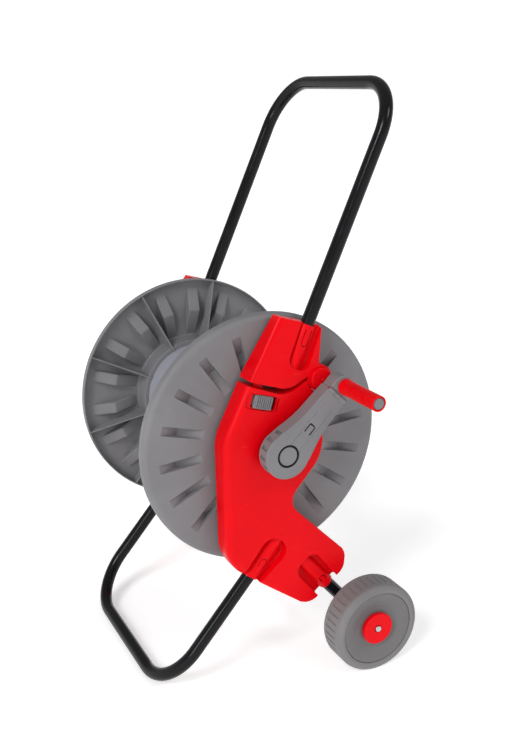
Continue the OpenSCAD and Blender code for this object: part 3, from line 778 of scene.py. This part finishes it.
def make_crank_arm():
    """The arm: hub with finger notches, waist, engraved outline, snap window and knuckles for the fold."""
    body = rod("hub", HUB_R, CRANK_IN, CRANK_OUT, sides=120)
    build_up(body, plate("arm", [
        [4, 33.6], [18, 31.5, 60], [52, 22, 120], [ARM_END, ARM_HALF], [ARM_END, -ARM_HALF], [52, -22, 120],
        [18, -31.5, 60], [4, -33.6],
    ], CRANK_IN, CRANK_OUT, 8, on_crank))
    edit(body, "FACE", lambda place, normal: place.y > CRANK_OUT - 0.01)
    bpy.ops.mesh.dissolve_faces()
    done()

    def on_rim(a, b):
        ends = [abs(p.z * math.cos(CRANK_ANGLE) - p.x * math.sin(CRANK_ANGLE)) for p in (a, b)]
        return min(a.y, b.y) > CRANK_OUT - 0.1 and (min(ends) > 16 or a.x + b.x < 60)

    round_edges(body, 1.8, 4, on_rim, 60)
    notch = plate("notch", four(HUB_R - 3, -3, HUB_R + 5, 3, 1), CRANK_OUT - 19, CRANK_OUT - 4, 4)
    cut(body, spread(notch, [turn(107 + 24.5 * i) for i in range(6)]))
    groove = plate("outline groove", four(12, -9.8, 93, 9.8, 0, 9.7), CRANK_OUT - 0.5, CRANK_OUT + 1, 10,
                   on_crank)
    cut(groove, plate("island", four(11, -9.2, 92.4, 9.2, 0, 9.1), CRANK_OUT - 1, CRANK_OUT + 2, 10,
                      on_crank))
    cut(body, rod("ring seat", 17, CRANK_IN - 1, CRANK_OUT + 1, sides=96),
        slit("snap slit", -6.6, 6.6, 41.5, 57, 2.8, 3.1, CRANK_OUT - 8, CRANK_OUT + 1,
             lambda u, v: on_crank(v, u)), groove)
    build_up(body, fold_bar("knuckles", KNUCKLE_R, 36))
    cut(body, fold_bar("tongue room", FOLD_ROOM_R, 13), fold_bar("pin bore", FOLD_PIN_R, 40))
    near_only(body, "crank_arm", GREY)


def make_crank_end():
    """The folding end block that carries the grip."""
    start = ARM_END + 0.4
    body = plate("crank end", four(start, -ARM_HALF, CRANK_REACH + 14, ARM_HALF, 0, 16),
                 CRANK_IN + 3, GRIP_BASE, 12, on_crank)
    round_edges(body, 1.8, 3, lambda a, b: min(a.y, b.y) > GRIP_BASE - 0.1, 60)
    notch = plate("fold notch", four(ARM_END - 5, -20, ARM_END + 3.2, 20), FOLD_Y, GRIP_BASE + 3, 1, on_crank)
    cut(body, notch, fold_bar("fold room", FOLD_ROOM_R, 60))
    tongue = fold_bar("tongue", KNUCKLE_R, 12)
    root = plate("tongue root", four(ARM_END, -5.9, ARM_END + 8, 5.9), CRANK_OUT - 5, CRANK_OUT - 2, 1,
                 on_crank)
    build_up(body, tongue, root)
    spindle = rod("spindle bore", PIN_BORE_R, CRANK_IN, GRIP_BASE + 1, *on_crank(CRANK_REACH, 0), 32)
    cut(body, fold_bar("pin bore", FOLD_PIN_R, 40), spindle)
    near_only(body, "crank_end", GREY)


def make_crank_grip():
    """The grip: a flared foot, fine lengthwise ribs and a cap sunk in its end."""
    x, z = on_crank(CRANK_REACH, 0)
    foot = GRIP_BASE + 0.4
    body = turned("grip", [
        [PIN_BORE_R, foot], [12.4, foot, 1.2], [12.4, foot + 5, 4], [11.4, foot + 14, 8], [11.4, foot + 15],
        [11.4, GRIP_TIP - 4], [11.4, GRIP_TIP, 1.4], [9, GRIP_TIP, 0.4], [9, GRIP_TIP - 3.6, 0.4],
        [PIN_BORE_R, GRIP_TIP - 3.6],
    ], x, z, 3 * RIBS, 3)
    column = 360 / (3 * RIBS)

    def on_rib(centre, normal):
        if not (foot + 15 < centre.y < GRIP_TIP - 4 and math.hypot(centre.x - x, centre.z - z) > 11):
            return False
        return int(math.degrees(math.atan2(centre.z - z, centre.x - x)) % 360 / column) % 3 == 0

    edit(body, "FACE", on_rib)
    bpy.ops.mesh.inset(thickness=0.1 * MM, depth=-0.5 * MM)
    done()
    near_only(body, "crank_grip", RED)
    cap = turned("grip cap", [
        [0, GRIP_TIP - 3], [8, GRIP_TIP - 3], [8, GRIP_TIP - 0.2, 0.7], [6.6, GRIP_TIP - 0.2, 0.4],
        [6.2, GRIP_TIP - 0.8, 0.4], [0, GRIP_TIP - 0.6],
    ], x, z, 48)
    near_only(cap, "grip_cap", GREY)


def make_crank_hub():
    """The black ring in the hub and the cap inside it."""
    ring = turned("ring", [[14, CRANK_OUT - 6], [16.95, CRANK_OUT - 6], [16.95, CRANK_OUT + 0.4, 0.7],
                           [14, CRANK_OUT + 0.4, 0.7]], steps=80)
    near_only(ring, "crank_ring", BLACK)
    cap = turned("cap", [
        [0, CRANK_OUT - 2.5], [13.9, CRANK_OUT - 2.5], [13.9, CRANK_OUT, 0.8], [0, CRANK_OUT],
    ], steps=64)
    near_only(cap, "crank_cap", GREY)


# ---------------------------------------------------------------- wheels

WHEEL_IN, WHEEL_OUT = reach("tyre_far")
WHEEL_R = (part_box("tyre_far")[1][0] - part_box("tyre_far")[0][0]) / 2 / MM
DISC_R = 58.5
CAP_R = 25.5
GROOVES = 40


def make_tyres():
    """A hard tyre with rounded shoulders and short slits across its tread."""
    middle_y = (WHEEL_IN + WHEEL_OUT) / 2
    steps = 4 * GROOVES
    body = turned("tyre", [
        [DISC_R, WHEEL_IN + 3], [WHEEL_R - 8, WHEEL_IN, 2.5], [WHEEL_R, WHEEL_IN + 4, 7],
        [WHEEL_R, middle_y - 13],
        [WHEEL_R, middle_y + 13], [WHEEL_R, WHEEL_OUT - 4, 7], [WHEEL_R - 8, WHEEL_OUT, 2.5],
        [DISC_R + 0.4, WHEEL_OUT - 1.6, 0.5], [DISC_R, WHEEL_OUT - 4],
    ], *AXLE, steps, 5)
    column = 360 / steps

    def on_slit(centre, normal):
        dx, dz = centre.x - AXLE[0], centre.z - AXLE[1]
        if abs(centre.y - middle_y) > 13.5 or math.hypot(dx, dz) < WHEEL_R - 2:
            return False
        return int(math.degrees(math.atan2(dz, dx)) % 360 / column) % 4 < 2

    edit(body, "FACE", on_slit)
    bpy.ops.mesh.inset(thickness=0.5 * MM, depth=0)
    bpy.ops.mesh.inset(thickness=0.3 * MM, depth=-1.3 * MM)
    done()
    both_sides(body, "tyre", TYRE)


def make_wheel_discs():
    """The dished disc inside the tyre, with its hub."""
    body = turned("wheel disc", [
        [5.05, WHEEL_IN - 14], [14, WHEEL_IN - 14, 0.8], [14, WHEEL_OUT - 16, 3], [28, WHEEL_OUT - 13, 6],
        [53.5, WHEEL_OUT - 8, 2], [53.5, WHEEL_IN + 4, 0.5], [DISC_R - 0.3, WHEEL_IN + 4, 0.5],
        [DISC_R - 0.3, WHEEL_OUT - 2.6, 0.8], [DISC_R - 3, WHEEL_OUT - 2.4, 2], [49, WHEEL_OUT - 4.2, 10],
        [34, WHEEL_OUT - 9.5, 14], [CAP_R, WHEEL_OUT - 10], [5.05, WHEEL_OUT - 10],
    ], *AXLE, 128, 6)
    both_sides(body, "wheel_disc", DARK)


def make_hub_caps():
    """The flat red cap on the hub, open in the middle over the axle's end."""
    body = turned("hub cap", [
        [6, WHEEL_OUT - 9.9], [CAP_R - 2, WHEEL_OUT - 9.9], [CAP_R, WHEEL_OUT - 6, 1],
        [CAP_R, WHEEL_OUT - 1, 1.1],
        [6, WHEEL_OUT - 1, 0.5],
    ], *AXLE, 80, 4)
    both_sides(body, "hub_cap", RED)


def make_axle():
    """The axle rod with domed ends."""
    end = reach("axle_rod")[1]
    body = turned("axle", [[0, -end], [5, -end, 1.6], [5, end, 1.6], [0, end]], *AXLE, 48, 4)
    use(body, "axle_rod", STEEL)


# ---------------------------------------------------------------- water inlet

INLET_Y = 196
INLET_DROP = 36


def make_inlet():
    """The swivelling elbow: a collared spigot, a smooth bend and the nipple for a push-on connector."""
    bend = 16
    centre_y = INLET_Y + 20
    bpy.ops.object.select_all(action="DESELECT")
    bpy.ops.mesh.primitive_circle_add(vertices=48, radius=13.4 * MM, location=at(0, INLET_Y, 0),
                                      rotation=(math.pi / 2, 0, 0), fill_type="NGON")
    body = settle(bpy.context.object, "elbow")
    push(body, y=centre_y - bend - INLET_Y, test=lambda centre, normal: True)
    edit(body, "FACE", lambda centre, normal: centre.y > centre_y - bend - 0.01)
    bpy.ops.mesh.spin(steps=16, angle=math.radians(90), center=at(0, centre_y - bend, -bend), axis=(1, 0, 0))
    done()
    push(body, z=bend - INLET_DROP, test=lambda centre, normal: centre.z < -bend + 0.01)
    outward(body)
    outer_r, seal_r = 10.95, 8.4
    spigot = turned("spigot", [
        [6, INLET_Y - 32], [outer_r, INLET_Y - 32, 0.8], [outer_r, INLET_Y - 24, 0.3], [seal_r, INLET_Y - 24],
        [seal_r, INLET_Y - 21], [outer_r, INLET_Y - 21, 0.3], [outer_r, INLET_Y - 16, 0.3],
        [seal_r, INLET_Y - 16], [seal_r, INLET_Y - 13], [outer_r, INLET_Y - 13, 0.3], [outer_r, INLET_Y],
        [14, INLET_Y, 0.8], [14, INLET_Y + 3, 1], [13, INLET_Y + 3.6], [6, INLET_Y + 3.6],
    ], steps=64)
    build_up(body, spigot)
    use(body, "inlet_elbow", DARK)


MAKERS = (make_side_frame, make_bracket, make_covers, make_hinge_pins, make_latch_sliders, make_flanges,
          make_drum, make_screws, make_crank_arm, make_crank_end, make_crank_grip, make_crank_hub, make_tyres,
          make_wheel_discs, make_hub_caps, make_axle, make_inlet)

for make in MAKERS:
    make()


# ---------------------------------------------------------------- floor, light and camera

scene = bpy.context.scene
scene.view_settings.view_transform = "Standard"


def paper():
    """The plain floor's finish: a near-white card with a faint grain."""
    material = bpy.data.materials.new("floor_card")
    material.use_nodes = True
    tree = material.node_tree
    shader = tree.nodes["Principled BSDF"]
    where = tree.nodes.new("ShaderNodeTexCoord").outputs["Object"]
    shader.inputs["Roughness"].default_value = 0.9
    shader.inputs["Emission Color"].default_value = (1, 1, 1, 1)
    shader.inputs["Emission Strength"].default_value = 0.4
    tint = spread_over(tree, noise(tree, where, 3.0), 0.3, 0.7, 0.0, 1.0)
    colour = mixed(tree, tint, (0.93, 0.93, 0.935, 1), (0.95, 0.95, 0.95, 1))
    tree.links.new(colour, shader.inputs["Base Color"])
    return material


bpy.ops.object.select_all(action="DESELECT")
bpy.ops.mesh.primitive_plane_add(size=60, location=(0, 0, 0))
floor = bpy.context.object
floor.name = "floor"
floor.data.materials.append(paper())


def lamp_of(name, light, travel, place=(0, 0, 0)):
    """Hangs a light at a place so that it shines in one direction."""
    lamp = bpy.data.objects.new(name, light)
    scene.collection.objects.link(lamp)
    lamp.location = place
    lamp.rotation_euler = Vector(travel).to_track_quat("-Z", "Y").to_euler()


def area_light(name, energy, size, place, target):
    """A soft square light that faces a target."""
    light = bpy.data.lights.new(name, "AREA")
    light.energy = energy
    light.size = size
    lamp_of(name, light, Vector(target) - Vector(place), place)


def sunlight(name, energy, travel):
    """A soft, even light that travels in one direction."""
    light = bpy.data.lights.new(name, "SUN")
    light.energy = energy
    light.angle = math.radians(18)
    lamp_of(name, light, travel)


def studio():
    """Soft light from all round, with a white band at the horizon behind the cart."""
    world = bpy.data.worlds.new("studio")
    world.use_nodes = True
    tree = world.node_tree
    height = tree.nodes.new("ShaderNodeSeparateXYZ")
    tree.links.new(tree.nodes.new("ShaderNodeTexCoord").outputs["Generated"], height.inputs[0])
    strength = spread_over(tree, height.outputs["Z"], 0.12, 0.3, 1.05, 0.36)
    tree.links.new(strength, tree.nodes["Background"].inputs["Strength"])
    tree.nodes["Background"].inputs["Color"].default_value = (1, 1, 1, 1)
    return world


scene.world = studio()
sunlight("left_light", 1.4, (0.8, 0.5, -0.75))
sunlight("right_light", 0.65, (-0.5, 0.8, -0.9))
area_light("fill", 14, 0.7, (-2.4, -1.5, 1.1), (0, 0, 0.4))

# The camera stands in front of the near side, to its left, and looks a little down
camera_data = bpy.data.cameras.new("camera")
camera = bpy.data.objects.new("camera", camera_data)
scene.collection.objects.link(camera)
turned_by = math.radians(-26.632)
raised_by = math.radians(16.933)
back = Vector((math.sin(turned_by) * math.cos(raised_by), -math.cos(turned_by) * math.cos(raised_by),
               math.sin(raised_by)))
camera.location = (-0.5941, -1.3092, 0.8701)
camera.rotation_euler = (-back).to_track_quat("-Z", "Y").to_euler()
camera_data.sensor_width = 36
camera_data.lens = 45.586
scene.camera = camera
